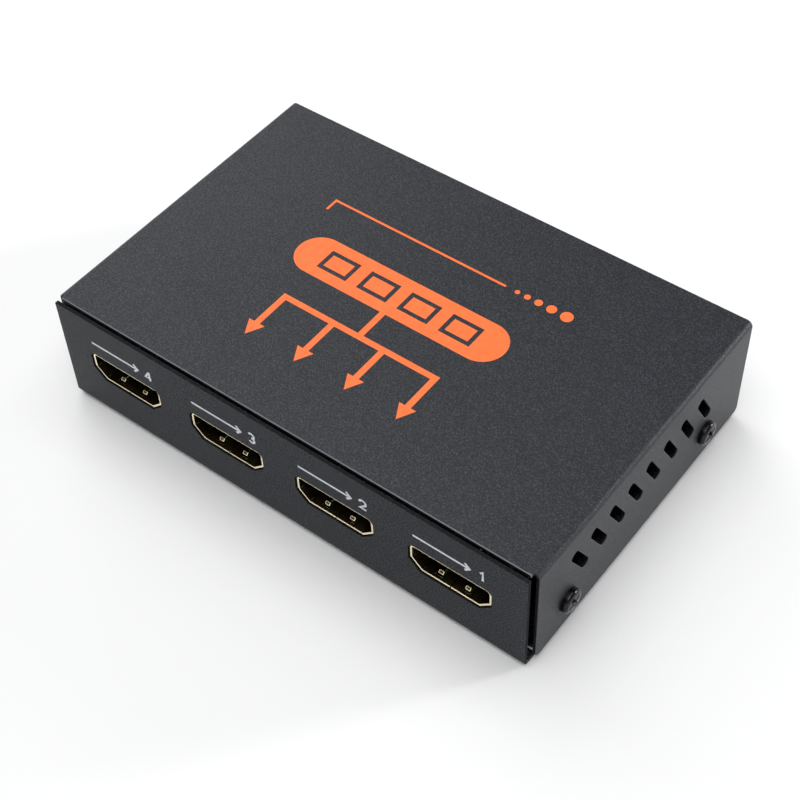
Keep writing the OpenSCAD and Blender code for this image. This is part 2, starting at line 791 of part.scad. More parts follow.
// Power light: local zero is the tip of its lens, +Y goes in.

module at_led() {
    translate([led_x, rear_y, led_z]) rotate(180) children();
}

module power_led_lens() {
    color("#c0392b") at_led() {
        translate([0, led_d / 2, 0]) {
            sphere(d = led_d);
            rotate([-90, 0, 0]) cylinder(d = led_d, h = led_l);
        }
        translate([0, led_base - led_collar_t, 0]) rotate([-90, 0, 0]) {
            cylinder(d = led_d + 2 * led_collar, h = led_collar_t);
        }
    }
}

module power_led_legs() {
    leg_h = led_axis + tag_reach;
    color(tin_colour) at_led() for (side = [-1, 1]) {
        translate([side * led_leg_pitch / 2 - led_leg_t / 2, led_base, 0]) {
            translate([0, 0, -led_leg_t / 2]) cube([led_leg_t, led_leg_l, led_leg_t]);
            translate([0, led_leg_l - led_leg_t, -leg_h]) cube([led_leg_t, led_leg_t, leg_h]);
        }
    }
}

// Chips and other parts on the board

module on_board(place) {
    translate([place[0], place[1], board_top]) children();
}

// A gull-wing lead in the YZ plane: out of the body's wall at zero, down to the board, then a foot.
module lead_outline(body_h_half) {
    bend = lead_reach / 2;
    translate([-lead_t, body_h_half]) square([bend + lead_t, lead_t]);
    translate([bend - lead_t, 0]) square([lead_t, body_h_half + lead_t]);
    translate([bend - lead_t, 0]) square([lead_reach - bend + lead_t, lead_t]);
}

// A row of leads along a body's wall, which stands at half the depth.
module lead_row(count, pitch, depth, h) {
    for (i = [0 : count - 1]) translate([(i - (count - 1) / 2) * pitch, depth / 2, 0]) {
        pull_x(lead_w) lead_outline(h / 2);
    }
}

module chip_body(w, d, h) {
    translate([-w / 2, -d / 2, lead_t]) cube([w, d, h - lead_t]);
}

module splitter_chip() {
    color("#202022") on_board(chip_at) {
        chip_body(chip_w, chip_w, chip_h);
        for (turn = [0 : 90 : 270]) rotate(turn) lead_row(chip_leads, chip_pitch, chip_w, chip_h);
    }
}

module config_memory() {
    leads = 4;
    color("#242426") on_board(memory_at) {
        chip_body(memory_l, memory_w, memory_h);
        for (turn = [0, 180]) rotate(turn) lead_row(leads, memory_pitch, memory_w, memory_h);
    }
}

module clock_crystal() {
    color("#c4c6c8") on_board(crystal_at) {
        translate([-(crystal_l - crystal_w) / 2, -crystal_w / 2, 0]) {
            cube([crystal_l - crystal_w, crystal_w, crystal_h]);
        }
        for (side = [-1, 1]) translate([side * (crystal_l - crystal_w) / 2, 0, 0]) {
            cylinder(d = crystal_w, h = crystal_h);
        }
    }
}

module voltage_regulator() {
    leads = 3;
    color("#232325") on_board(regulator_at) {
        chip_body(regulator_l, regulator_w, regulator_h);
        lead_row(leads, regulator_pitch, regulator_w, regulator_h);
        mirror([0, 1, 0]) translate([0, regulator_w / 2, 0]) {
            pull_x(regulator_tab_w) lead_outline(regulator_h / 2);
        }
    }
}

module power_inductor() {
    half = inductor_w / 2;
    flat = half - inductor_corner;
    color("#4a4a4c") on_board(inductor_at) linear_extrude(inductor_h) polygon([
        [flat, -half], [half, -flat], [half, flat], [flat, half],
        [-flat, half], [-half, flat], [-half, -flat], [-flat, -half]
    ]);
}

module bulk_capacitors() {
    color("#a9abad") for (place = can_at) on_board(place) {
        translate([-can_d / 2, -can_d / 2, 0]) cube([can_d, can_d, can_foot_h]);
        cylinder(d = can_d, h = can_foot_h + can_h);
    }
}

module ceramic_capacitors() {
    color("#b59a6d") on_board(chip_at) for (turn = [0 : 90 : 270], i = [0 : ceramic_count - 1]) {
        rotate(turn) translate([(i - (ceramic_count - 1) / 2) * ceramic_pitch, ceramic_ring, ceramic_w / 2]) {
            cube([ceramic_l, ceramic_w, ceramic_w], center = true);
        }
    }
}

module chip_resistors() {
    row_y = tail_y + contact_foot + resistor_row;
    row_x = -(resistor_count - 1) / 2 * resistor_pitch;
    color("#2b2b2d") for (output = [1 : output_count], i = [0 : resistor_count - 1]) {
        at_output(output) translate([row_x + i * resistor_pitch, row_y, -mouth_to_board]) {
            translate([-resistor_w / 2, -resistor_l / 2, 0]) cube([resistor_w, resistor_l, resistor_h]);
        }
    }
}

module output_shell(i) { at_output(i) socket_shell(); }
module output_insulator(i) { at_output(i) socket_insulator(); }
module output_contacts(i) { at_output(i) socket_contacts(); }
module input_shell() { at_input() socket_shell(); }
module input_insulator() { at_input() socket_insulator(); }
module input_contacts() { at_input() socket_contacts(); }

cover();
base_tray();
case_screw(1, screw_front_y);  // case_screw_right_front
case_screw(1, screw_rear_y);  // case_screw_right_rear
case_screw(-1, screw_front_y);  // case_screw_left_front
case_screw(-1, screw_rear_y);  // case_screw_left_rear
circuit_board();
board_standoffs();
board_screws();
output_shell(1);  // output_1_shell
output_insulator(1);  // output_1_insulator
output_contacts(1);  // output_1_contacts
output_shell(2);  // output_2_shell
output_insulator(2);  // output_2_insulator
output_contacts(2);  // output_2_contacts
output_shell(3);  // output_3_shell
output_insulator(3);  // output_3_insulator
output_contacts(3);  // output_3_contacts
output_shell(4);  // output_4_shell
output_insulator(4);  // output_4_insulator
output_contacts(4);  // output_4_contacts
input_shell();
input_insulator();
input_contacts();
power_jack_housing();
power_jack_pin();
power_jack_spring();
power_jack_tag();
power_led_lens();
power_led_legs();
splitter_chip();
config_memory();
clock_crystal();
voltage_regulator();
power_inductor();
bulk_capacitors();
ceramic_capacitors();
chip_resistors();
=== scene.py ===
# %% [markdown]
# # A video splitter in a folded steel case
#
# One video signal comes in at the rear of this box and leaves through four sockets at the front. The case
# is two folded sheets: a tray that carries the front and rear panels, and a U-shaped cover that four black
# screws hold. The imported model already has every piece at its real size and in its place. This script gives
# each piece its finish, models what is too fine for that model, such as threads, rounded sheet edges and
# printed marks, and sets up the camera and the light.

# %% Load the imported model
import json

import bmesh
import bpy
import numpy as np
from mathutils import Matrix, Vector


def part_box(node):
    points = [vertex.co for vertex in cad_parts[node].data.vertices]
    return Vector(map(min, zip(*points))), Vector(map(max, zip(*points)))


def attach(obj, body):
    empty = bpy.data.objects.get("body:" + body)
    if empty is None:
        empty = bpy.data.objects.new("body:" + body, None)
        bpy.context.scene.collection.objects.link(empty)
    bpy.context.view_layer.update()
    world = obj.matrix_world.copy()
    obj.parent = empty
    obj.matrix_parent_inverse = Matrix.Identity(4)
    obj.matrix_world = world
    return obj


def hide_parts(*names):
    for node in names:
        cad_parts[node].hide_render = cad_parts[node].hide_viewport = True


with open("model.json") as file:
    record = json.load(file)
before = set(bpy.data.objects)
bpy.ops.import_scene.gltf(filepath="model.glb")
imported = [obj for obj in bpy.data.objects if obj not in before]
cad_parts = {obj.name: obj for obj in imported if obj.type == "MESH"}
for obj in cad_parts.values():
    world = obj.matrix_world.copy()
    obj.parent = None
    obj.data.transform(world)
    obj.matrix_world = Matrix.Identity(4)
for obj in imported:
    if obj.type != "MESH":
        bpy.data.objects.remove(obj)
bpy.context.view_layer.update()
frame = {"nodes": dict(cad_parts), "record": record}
nodes = frame["nodes"]
MM = 0.001  # sizes below are in millimetres, and Blender works in metres


def node_box(node):
    """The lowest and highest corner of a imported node, in millimetres."""
    return [np.array(corner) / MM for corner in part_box(node)]


case_low, case_high = node_box("cover")
front_y = node_box("base_tray")[0][1]
print(len(nodes), "nodes; the cover is", np.round(case_high - case_low, 2), "mm")

# %% [markdown]
# ## The camera
#
# A likeness starts with the photographer's place. The edges of the case and the rims of the sockets gave
# the direction, the distance and the focal length, so a Blender camera can be built from them: the direction
# says where "back" points, a cross product with "up" gives "right", and the roll turns the pair a little.
# Placing the camera by hand until it looks right would also work, but a solved camera keeps every edge within
# a few pixels.

# %% Camera
PICTURE_SIDE = 800  # pixels
FOCAL_LENGTH = 1611.95  # pixels
SENSOR = 36.0  # millimetres
VIEW_AZIMUTH, VIEW_ELEVATION, VIEW_ROLL = np.radians([39.375, 49.462, -2.724])
VIEW_DISTANCE = 273.62
VIEW_OFFSET = 0.21, -0.427  # where the case's origin lies beside the picture's middle


def camera_axes(azimuth, elevation, roll):
    """Right, up and back: back from the two angles, right level and square to it, then turned by the roll."""
    level_part = np.cos(elevation)
    back = np.array([np.sin(azimuth) * level_part, -np.cos(azimuth) * level_part, np.sin(elevation)])
    level = np.cross([0, 0, 1], back)
    level /= np.linalg.norm(level)
    upright = np.cross(back, level)
    right = np.cos(roll) * level + np.sin(roll) * upright
    return right, np.cross(back, right), back


def stand(thing, right, up, back, place):
    """Puts a camera or lamp at a place in millimetres; it looks against back, with right and up beside it."""
    rows = np.column_stack([right, up, back, np.array(place) * MM])
    thing.matrix_world = Matrix([*rows.tolist(), [0, 0, 0, 1]])
    bpy.context.scene.collection.objects.link(thing)


right, up, back = camera_axes(VIEW_AZIMUTH, VIEW_ELEVATION, VIEW_ROLL)
place = VIEW_DISTANCE * back - VIEW_OFFSET[0] * right - VIEW_OFFSET[1] * up
camera = bpy.data.objects.new("camera", bpy.data.cameras.new("camera"))
camera.data.sensor_width = SENSOR
camera.data.lens = FOCAL_LENGTH / PICTURE_SIDE * SENSOR
camera.data.clip_start = MM
stand(camera, right, up, back, place)
bpy.context.scene.camera = camera
print("camera at", np.round(place, 1), "mm with a lens of", round(camera.data.lens, 1), "mm")

# %% [markdown]
# ## Finishes: helpers
#
# Every finish here is a small node tree on the Principled shader. Noise on Object coordinates has a real
# size, because the pieces are modelled in metres and never scaled: a lump of 0.3 mm is 0.3 mm on every piece.
# The helpers below add a node, make noise of a given lump size, spread it between two values and turn it into
# bumps. Colours are given as the eight-bit values that one reads off a picture.

# %% Finish helpers


def colour(red, green, blue):
    """An eight-bit screen colour as the linear values that shaders take."""
    c = np.array([red, green, blue]) / 255
    linear = np.where(c <= 0.04045, c / 12.92, ((c + 0.055) / 1.055) ** 2.4)
    return (*linear.tolist(), 1.0)


def new_finish(name, **sockets):
    """A material and its Principled shader, with the named sockets set."""
    material = bpy.data.materials.new(name)
    material.use_nodes = True
    shader = material.node_tree.nodes["Principled BSDF"]
    for socket, value in sockets.items():
        shader.inputs[socket.replace("_", " ")].default_value = value
    return material, material.node_tree, shader


def add(tree, kind, inputs=None, **settings):
    """Adds a node, sets its properties, and links or sets its inputs."""
    node = tree.nodes.new(kind)
    for key, value in settings.items():
        setattr(node, key, value)
    for key, value in (inputs or {}).items():
        if isinstance(value, bpy.types.NodeSocket):
            tree.links.new(value, node.inputs[key])
        else:
            node.inputs[key].default_value = value
    return node


def grain(tree, lump, detail=2.0, stretch=(1, 1, 1)):
    """Noise whose lumps are about lump millimetres across; stretch shortens them along an axis."""
    where = add(tree, "ShaderNodeTexCoord").outputs["Object"]
    scale = [s / (lump * MM) for s in stretch]
    where = add(tree, "ShaderNodeMapping", {"Vector": where, "Scale": scale}).outputs["Vector"]
    return add(tree, "ShaderNodeTexNoise", {"Vector": where, "Scale": 1.0, "Detail": detail}).outputs["Fac"]


def spread(tree, value, low, high, start=0.3, end=0.7):
    """The value moved from the span start to end onto the span low to high."""
    inputs = {"Value": value, "From Min": start, "From Max": end, "To Min": low, "To Max": high}
    return add(tree, "ShaderNodeMapRange", inputs).outputs["Result"]


def between(tree, amount, first, second):
    """A colour between two others."""
    mix = add(tree, "ShaderNodeMix", data_type="RGBA")
    for socket, value in ((mix.inputs[0], amount), (mix.inputs[6], first), (mix.inputs[7], second)):
        if isinstance(value, bpy.types.NodeSocket):
            tree.links.new(value, socket)
        else:
            socket.default_value = value
    return mix.outputs[2]


def roughen(tree, shader, height, depth, strength=1.0):
    """Bumps of the given depth in millimetres where height goes from 0 to 1."""
    inputs = {"Height": height, "Distance": depth * MM, "Strength": strength}
    tree.links.new(add(tree, "ShaderNodeBump", inputs).outputs["Normal"], shader.inputs["Normal"])


def dress(tree, shader, tint=None, roughness=None):
    """Links a colour and a roughness to the shader."""
    if tint is not None:
        tree.links.new(tint, shader.inputs["Base Color"])
    if roughness is not None:
        tree.links.new(roughness, shader.inputs["Roughness"])


print("finish helpers ready")

# %% [markdown]
# ## Floor and light
#
# The photograph was taken on a white sheet between large soft lamps: the floor is almost white everywhere
# and darkens only close to the case. Here the sheet rises all round into a backdrop. Where the lamps no
# longer reach it, its material goes over to plain white for the camera and for mirrors, which adds no light
# to the case.
#
# The case is dark, so most of what its faces show is a dull mirror image of the lamps and the floor. The left
# end of the top mirrors a lamp on the left and the painted side mirrors a low one at the right rear. A small
# one high at the rear shows only in the bend between them, as a thin bright line. A lamp above and one over
# the camera light the floor and show in none of the visible faces, and a dim room fills what the lamps don't
# reach.

# %% Floor, room and lamps
FLOOR_FLAT, FLOOR_RISE = 3000.0, 1500.0  # the flat part's radius, and that of its bend upwards
FLOOR_DROP = 0.02  # keeps the floor's face off the case's underside
FLOOR_ROWS, FLOOR_COLUMNS = 13, 96
WHITE_FROM, WHITE_AT = 220.0, 480.0  # distances from the case
ROOM_COLOUR = 0.95, 0.97, 1.0, 1
ROOM_STRENGTH = 0.1


def grid_faces(rows, columns, ring_columns=False):
    """Four-cornered faces of a grid numbered row by row; a ring joins its last column to its first."""
    start = np.arange(rows - 1)[:, None] * columns
    column = np.arange(columns if ring_columns else columns - 1)[None, :]
    next_start, next_column = start + columns, (column + 1) % columns
    corners = start + column, start + next_column, next_start + next_column, next_start + column
    return np.stack(np.broadcast_arrays(*corners), -1).reshape(-1, 4)


def studio_floor():
    """A sheet turned about the vertical: flat out to FLOOR_FLAT, then up in a quarter of a circle."""
    climb = np.linspace(0, np.pi / 2, FLOOR_ROWS)[:, None]
    turn = np.linspace(0, 2 * np.pi, FLOOR_COLUMNS, endpoint=False)
    radius = FLOOR_FLAT + FLOOR_RISE * np.sin(climb)
    height = FLOOR_RISE * (1 - np.cos(climb)) - FLOOR_DROP + 0 * turn
    rings = np.stack([radius * np.cos(turn), radius * np.sin(turn), height], -1) * MM
    flat, wall = list(range(FLOOR_COLUMNS)), grid_faces(FLOOR_ROWS, FLOOR_COLUMNS, ring_columns=True)
    mesh = bpy.data.meshes.new("floor")
    mesh.from_pydata(rings.reshape(-1, 3).tolist(), [], [flat, *wall.tolist()])
    mesh.materials.append(white_sheet())
    floor = bpy.data.objects.new("floor", mesh)
    bpy.context.scene.collection.objects.link(floor)


def white_sheet():
    """Matt white that goes over to plain white with the distance, for the camera and mirrors only."""
    material, tree, shader = new_finish("white_sheet", Roughness=0.9, Specular_IOR_Level=0.1)
    dress(tree, shader, between(tree, grain(tree, 60.0), (0.9, 0.9, 0.905, 1), (0.905, 0.905, 0.905, 1)))
    where = add(tree, "ShaderNodeTexCoord").outputs["Object"]
    reach = add(tree, "ShaderNodeVectorMath", {0: where}, operation="LENGTH").outputs["Value"]
    far = spread(tree, reach, 0.0, 1.0, start=WHITE_FROM * MM, end=WHITE_AT * MM)
    ray = add(tree, "ShaderNodeLightPath").outputs
    seen = ray["Is Camera Ray"]
    for kind in ("Is Glossy Ray", "Is Transmission Ray"):
        seen = add(tree, "ShaderNodeMath", {0: seen, 1: ray[kind]}, operation="MAXIMUM").outputs[0]
    amount = add(tree, "ShaderNodeMath", {0: far, 1: seen}, operation="MULTIPLY").outputs[0]
    white = add(tree, "ShaderNodeEmission", {"Color": (1, 1, 1, 1), "Strength": 1.0}).outputs[0]
    mix = add(tree, "ShaderNodeMixShader", {0: amount, 1: shader.outputs[0], 2: white}).outputs[0]
    tree.links.new(mix, tree.nodes["Material Output"].inputs["Surface"])
    return material


def room_light():
    """A world of one even, dim colour."""
    world = bpy.data.worlds.new("room")
    bpy.context.scene.world = world
    world.use_nodes = True
    background = world.node_tree.nodes["Background"]
    background.inputs["Color"].default_value = ROOM_COLOUR
    background.inputs["Strength"].default_value = ROOM_STRENGTH


def softbox(name, place, width, height, power):
    """A rectangular lamp at a place, turned towards the case; sizes in millimetres, power in watts."""
    lamp = bpy.data.lights.new(name, "AREA")
    lamp.shape = "RECTANGLE"
    lamp.size, lamp.size_y = width * MM, height * MM
    lamp.energy = power
    away = np.array(place, float) / np.linalg.norm(place)
    across = np.cross([0, 1, 0], away)
    across /= np.linalg.norm(across)
    stand(bpy.data.objects.new(name, lamp), across, np.cross(away, across), away, place)


studio_floor()
room_light()
softbox("lamp_left", (-580, 260, 540), 700, 600, 2.4)
softbox("lamp_right", (620, 740, 90), 700, 160, 8.0)
softbox("lamp_above", (0, 0, 1000), 1000, 1000, 6.6)
softbox("lamp_rear", (220, 520, 880), 240, 240, 0.22)
softbox("lamp_front", (150, -450, 900), 900, 600, 3.4)
bpy.context.scene.view_settings.view_transform = "Standard"
print("floor, room and", len(bpy.data.lights), "lamps")

# %% [markdown]
# ## The case's paint and the printed inks
#
# The case is powder coated: a dark, slightly bluish grey with a fine sandy texture. Fine noise makes the
# bumps and lets some grains shine more than others, and slow noise varies the tone a little so that no face
# is one flat colour. Where the cover's edges are rounded, the coat flows thin and smooth before it sets, so
# they get a glossier version of the same paint. Along the front edge that paint is paler: a painted highlight,
# the thin line of light along the front of the cover. The sheared edges get a dull, almost black coat, which
# is painted shade. The tray takes a darker, duller copy of the cover's coat, painted shade for the front
# panel, which faces away from the lamps.
# The inks are printed over the coat, so its grain shows through them.

# %% Case paint and inks
SAND, SAND_DEPTH = 0.25, 0.075
SPECK, SPECK_TINT = 0.22, colour(104, 108, 117)
# A paler tint on the cover's rounded front edge, fading over a tenth of a millimetre: a painted highlight.
PAINTED_HIGHLIGHT_FADE, PAINTED_HIGHLIGHT_TINT = 0.1, colour(112, 114, 119)


def powder_coat(name, dark, light, gloss, dull, shine, specks=0.3, painted_highlight_before=None):
    """Dark grey coat: sandy bumps, grains of differing shine, pale specks and a slow change of tone. In front
    of the place painted_highlight_before on the Y axis, in millimetres, the coat is paler: a painted
    highlight."""
    material, tree, shader = new_finish(name, Specular_IOR_Level=shine)
    sand = grain(tree, SAND, detail=3.0)
    tint = between(tree, spread(tree, grain(tree, 9.0), 0.0, 0.6), dark, light)
    # Paler in front of the given place on the Y axis: a painted highlight along the front edge.
    if painted_highlight_before is not None:
        where = add(tree, "ShaderNodeTexCoord").outputs["Object"]
        along = add(tree, "ShaderNodeSeparateXYZ", {"Vector": where}).outputs["Y"]
        wear_and_highlight = spread(tree, along, 1.0, 0.0, start=(painted_highlight_before - PAINTED_HIGHLIGHT_FADE) * MM, end=painted_highlight_before * MM)
        tint = between(tree, wear_and_highlight, tint, PAINTED_HIGHLIGHT_TINT)
    speckled = spread(tree, grain(tree, SPECK, detail=1.0), 0.0, specks, start=0.46, end=0.74)
    dress(tree, shader, between(tree, speckled, tint, SPECK_TINT), spread(tree, sand, gloss, dull))
    roughen(tree, shader, sand, SAND_DEPTH)
    return material


def screen_ink(name, tint, wear_and_highlight):
    """A thin opaque ink that takes over the grain of the coat below and is a little uneven."""
    material, tree, shader = new_finish(name)
    sand = grain(tree, 0.32, detail=3.0)
    tone = between(tree, spread(tree, grain(tree, 1.4), 0.0, 1.0), tint, wear_and_highlight)
    dress(tree, shader, tone, spread(tree, sand, 0.42, 0.6))
    roughen(tree, shader, sand, 0.02, strength=0.4)
    return material


case_paint = powder_coat("case_paint", colour(24, 26, 31), colour(29, 31, 36), 0.34, 0.52, 0.3)
# The tray's coat is a darker, duller copy of the cover's: painted shade on the front panel, which faces away
# from the lamps.
shaded_tray_paint = powder_coat("shaded_tray_paint", colour(14, 15, 20), colour(18, 19, 24), 0.32, 0.5, 0.11, specks=0.6)
# The rounded edges' paint turns pale within 0.3 mm of the front: a painted highlight.
edge_paint = powder_coat("edge_paint", colour(22, 23, 27), colour(27, 28, 32), 0.26, 0.4, 0.5,
                         painted_highlight_before=case_low[1] + 0.3)
# An almost black coat for the sheared edges and the slot walls: painted shade.
shade_painted_edge = powder_coat("shade_painted_edge", colour(15, 15, 17), colour(20, 20, 22), 0.6, 0.75, 0.1,
                           specks=0.08)
orange_ink = screen_ink("orange_ink", colour(255, 118, 48), colour(250, 108, 42))
white_ink = screen_ink("white_ink", colour(226, 229, 233), colour(212, 216, 221))
print("four paints and two inks")

# %% [markdown]
# ## Metals, plastics and the board
#
# The socket shells are steel with a thin pale gold plating, so they are fully metallic, with fine stretched
# noise for the rolling marks. Moulded plastics get a soft grain. The board's green lacquer shows the copper
# lines below it as slightly lighter and raised strips: a brick pattern with long bricks looks like bundles
# of lines from a short distance, and costs one node.

# %% Metals, plastics and the board
METAL_MARK = 0.5


def plated(name, tint, tarnish, gloss, dull, stretch=(1, 1, 1)):
    """Bare or plated metal: stretched noise varies shine and tone like rolling marks."""
    material, tree, shader = new_finish(name, Metallic=1.0)
    marks = grain(tree, METAL_MARK, detail=3.0, stretch=stretch)
    tone = between(tree, spread(tree, grain(tree, 2.5), 0.0, 1.0), tint, tarnish)
    dress(tree, shader, tone, spread(tree, marks, gloss, dull))
    roughen(tree, shader, marks, 0.004, strength=0.3)
    return material


def moulded(name, tint, pale, gloss, dull, lump=0.2):
    """Moulded plastic or resin: a soft fine grain and a slow change of tone."""
    material, tree, shader = new_finish(name)
    skin = grain(tree, lump)
    tone = between(tree, spread(tree, grain(tree, 3.0), 0.0, 1.0), tint, pale)
    dress(tree, shader, tone, spread(tree, skin, gloss, dull))
    roughen(tree, shader, skin, 0.008, strength=0.3)
    return material


def lacquered_board(name):
    """Green lacquer over copper lines: long bricks, whose joints are the bare gaps between the lines."""
    material, tree, shader = new_finish(name)
    where = add(tree, "ShaderNodeTexCoord").outputs["Object"]
    bricks = {"Vector": where, "Scale": 1 / MM, "Brick Width": 6.0, "Row Height": 0.45}
    bricks |= {"Mortar Size": 0.1, "Mortar Smooth": 0.2}
    lines = add(tree, "ShaderNodeTexBrick", bricks, offset=0.37).outputs["Fac"]
    tint = between(tree, lines, colour(20, 70, 42), colour(12, 48, 28))
    tint = between(tree, spread(tree, grain(tree, 5.0), 0.0, 0.35), tint, colour(16, 60, 42))
    dress(tree, shader, tint, spread(tree, grain(tree, 0.4), 0.22, 0.36))
    roughen(tree, shader, spread(tree, lines, 1.0, 0.0, start=0.0, end=1.0), 0.03, strength=0.6)
    return material


def clear_resin(name):
    """Red see-through resin, a little clouded."""
    material, tree, shader = new_finish(name, Transmission_Weight=0.7, IOR=1.5)
    cloud = grain(tree, 0.8)
    tint = between(tree, spread(tree, cloud, 0.0, 1.0), colour(214, 34, 26), colour(188, 22, 18))
    dress(tree, shader, tint, spread(tree, cloud, 0.08, 0.2))
    return material


ROLLED, DRAWN, SPUN = (1, 0.25, 1), (0.15, 2, 2), (0.15, 0.15, 2)  # how each way of making stretches marks
FINISHES = {
    "case_paint": case_paint,
    "screw_black": plated("screw_black", colour(52, 52, 55), colour(38, 38, 41), 0.16, 0.28),
    "socket_gold": plated("socket_gold", colour(255, 244, 212), colour(250, 234, 192), 0.06, 0.13, ROLLED),
    "socket_plastic": moulded("socket_plastic", colour(8, 8, 9), colour(12, 12, 13), 0.42, 0.58),
    "contact_gold": plated("contact_gold", colour(232, 196, 110), colour(214, 172, 88), 0.18, 0.32, ROLLED),
    "board_green": lacquered_board("board_green"),
    "standoff_brass": plated("standoff_brass", colour(206, 176, 98), colour(184, 150, 78), 0.22, 0.4, SPUN),
    "screw_steel": plated("screw_steel", colour(196, 197, 194), colour(170, 172, 172), 0.2, 0.38),
    "jack_plastic": moulded("jack_plastic", colour(20, 20, 21), colour(27, 27, 28), 0.36, 0.54),
    "jack_metal": plated("jack_metal", colour(202, 202, 198), colour(182, 182, 178), 0.18, 0.34),
    "jack_bronze": plated("jack_bronze", colour(214, 178, 104), colour(190, 150, 82), 0.2, 0.36),
    "light_lens": clear_resin("light_lens"),
    # A much darker copy of the gold for the inside of the shells: painted shade.
    "shaded_shell_inside": plated("shaded_shell_inside", colour(84, 72, 48), colour(66, 56, 38), 0.3, 0.46, ROLLED),
    "tin": plated("tin", colour(196, 196, 192), colour(172, 173, 170), 0.24, 0.42),
    "chip_plastic": moulded("chip_plastic", colour(30, 30, 32), colour(37, 37, 39), 0.5, 0.68),
    "crystal_steel": plated("crystal_steel", colour(200, 202, 204), colour(178, 180, 183), 0.18, 0.34, DRAWN),
    "ferrite": moulded("ferrite", colour(70, 70, 72), colour(82, 82, 84), 0.5, 0.7, lump=0.35),
    "can_aluminium": plated("can_aluminium", colour(206, 208, 210), colour(190, 192, 195), 0.24, 0.4, SPUN),
    "ceramic_tan": moulded("ceramic_tan", colour(186, 152, 108), colour(170, 136, 94), 0.4, 0.6),
}
SLOT_OF = {row["node"]: row["material_slot"] for row in frame["record"]["subparts"]}
for node, slot in SLOT_OF.items():
    nodes[node].data.materials.clear()
    nodes[node].data.materials.append(FINISHES[slot])
print(len(FINISHES), "finishes on", len(SLOT_OF), "nodes")

# %% [markdown]
# ## Making pieces
#
# A surface here is an array of points and an array of faces. A grid of points, worked out all at once with
# numpy, gives most shapes: the faces of a grid follow from the point numbers alone. Where a shape is already
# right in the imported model, its points are taken over, points that lie together are merged, and Blender's
# Bevel modifier rounds the edges. Copying is simpler than drawing a folded sheet again, and keeps it exact.

# %% Piece helpers
MERGE = 0.0005  # points closer than this, in millimetres, are one point
BEVEL_STEPS = 3
SHARP_EDGE, ONE_PLANE = np.radians([35, 0.3]).tolist()


def unite(*surfaces):
    """Several surfaces as one: each one's faces are renumbered by the points that come before it."""
    starts = np.cumsum([0] + [len(points) for points, _ in surfaces])
    faces = [f + start for (_, f), start in zip(surfaces, starts)]
    return np.concatenate([points for points, _ in surfaces]), np.concatenate(faces)


def cad_surface(node):
    """The points, in millimetres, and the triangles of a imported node."""
    mesh = nodes[node].data
    points = np.empty(len(mesh.vertices) * 3)
    mesh.vertices.foreach_get("co", points)
    corners = np.empty(len(mesh.loops), np.int32)
    mesh.loops.foreach_get("vertex_index", corners)
    return points.reshape(-1, 3) / MM, corners.reshape(-1, 3)


def clean(mesh, flat):
    """Merges points that lie together and, for a flat-sided piece, joins faces that lie in one plane."""
    work = bmesh.new()
    work.from_mesh(mesh)
    bmesh.ops.remove_doubles(work, verts=work.verts, dist=MERGE * MM)
    bmesh.ops.dissolve_degenerate(work, edges=work.edges, dist=MERGE * MM)
    if flat:
        bmesh.ops.dissolve_limit(work, angle_limit=ONE_PLANE, verts=work.verts, edges=work.edges)
    bmesh.ops.recalc_face_normals(work, faces=work.faces)
    work.to_mesh(mesh)
    work.free()


def make_piece(name, surface, finishes, body="case", stands_for=(), bevel=0.0):
    """A finished piece: its mesh, its materials, rounded edges if asked for, and the body it rides on."""
    points, faces = surface
    mesh = bpy.data.meshes.new(name)
    mesh.from_pydata((points * MM).tolist(), [], faces.tolist())
    clean(mesh, flat=bevel > 0)
    mesh.shade_smooth()
    mesh.set_sharp_from_angle(angle=SHARP_EDGE)
    for finish in finishes:
        mesh.materials.append(finish)
    piece = bpy.data.objects.new(name, mesh)
    bpy.context.scene.collection.objects.link(piece)
    if bevel:
        edge = piece.modifiers.new("rounded_edges", "BEVEL")
        edge.width, edge.segments = bevel * MM, BEVEL_STEPS
        edge.limit_method, edge.angle_limit = "ANGLE", SHARP_EDGE
        edge.use_clamp_overlap = False
        edge.harden_normals = True
        edge.material = len(finishes) - 1
    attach(piece, body)
    if stands_for:
        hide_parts(*stands_for)
    return piece


def refinish(piece, number, chosen):
    """Gives the faces for which chosen(centre, normal) holds another one of the piece's finishes."""
    polygons = piece.data.polygons
    values = np.empty((2, len(polygons) * 3))
    polygons.foreach_get("center", values[0])
    polygons.foreach_get("normal", values[1])
    centre, normal = values.reshape(2, -1, 3).transpose(0, 2, 1)
    numbers = np.where(chosen(centre / MM, normal), number, 0)
    polygons.foreach_set("material_index", numbers.astype(np.int32))
    return int((numbers == number).sum())


print("piece helpers ready")

# %% [markdown]
# ## Cover and tray
#
# Both are bent from 0.7 mm sheet. The imported solids have the bends, the slots and the cut-outs, so their
# copies only need the small rounding that shearing and paint leave on every edge; that rounding, with a paler
# tint painted on it near the front, gives the thin line of light along the front of the cover, partly a
# painted highlight. The narrow faces of the sheared edges are found by where they lie and which way they face,
# and get the almost black coat, painted shade. Ink has a thickness, so the two printed faces lie back by that
# much and the ink fills the space up to the case's true size.

# %% Cover and tray
INK = 0.02
SHEET, BEND = 0.7, 1.8  # the sheet's thickness, and the reach of its bends
SHEET_EDGE = 0.16
TRAY_EDGE = 0.04  # the tray has steps of a tenth of a millimetre, which a wider rounding would fold over


# The faces chosen below get the almost black coat: painted shade.
def cover_edge(centre, normal):
    """Faces to the front and the back, and on the sides, below the bends, all that don't face sideways."""
    on_side = (centre[2] < case_high[2] - BEND) & (abs(normal[0]) < 0.5)
    notch = (centre[1] < case_low[1] + SHEET) & (abs(normal[0]) > 0.9) & (centre[2] > case_high[2] - BEND)
    return (abs(normal[1]) > 0.9) | on_side | notch


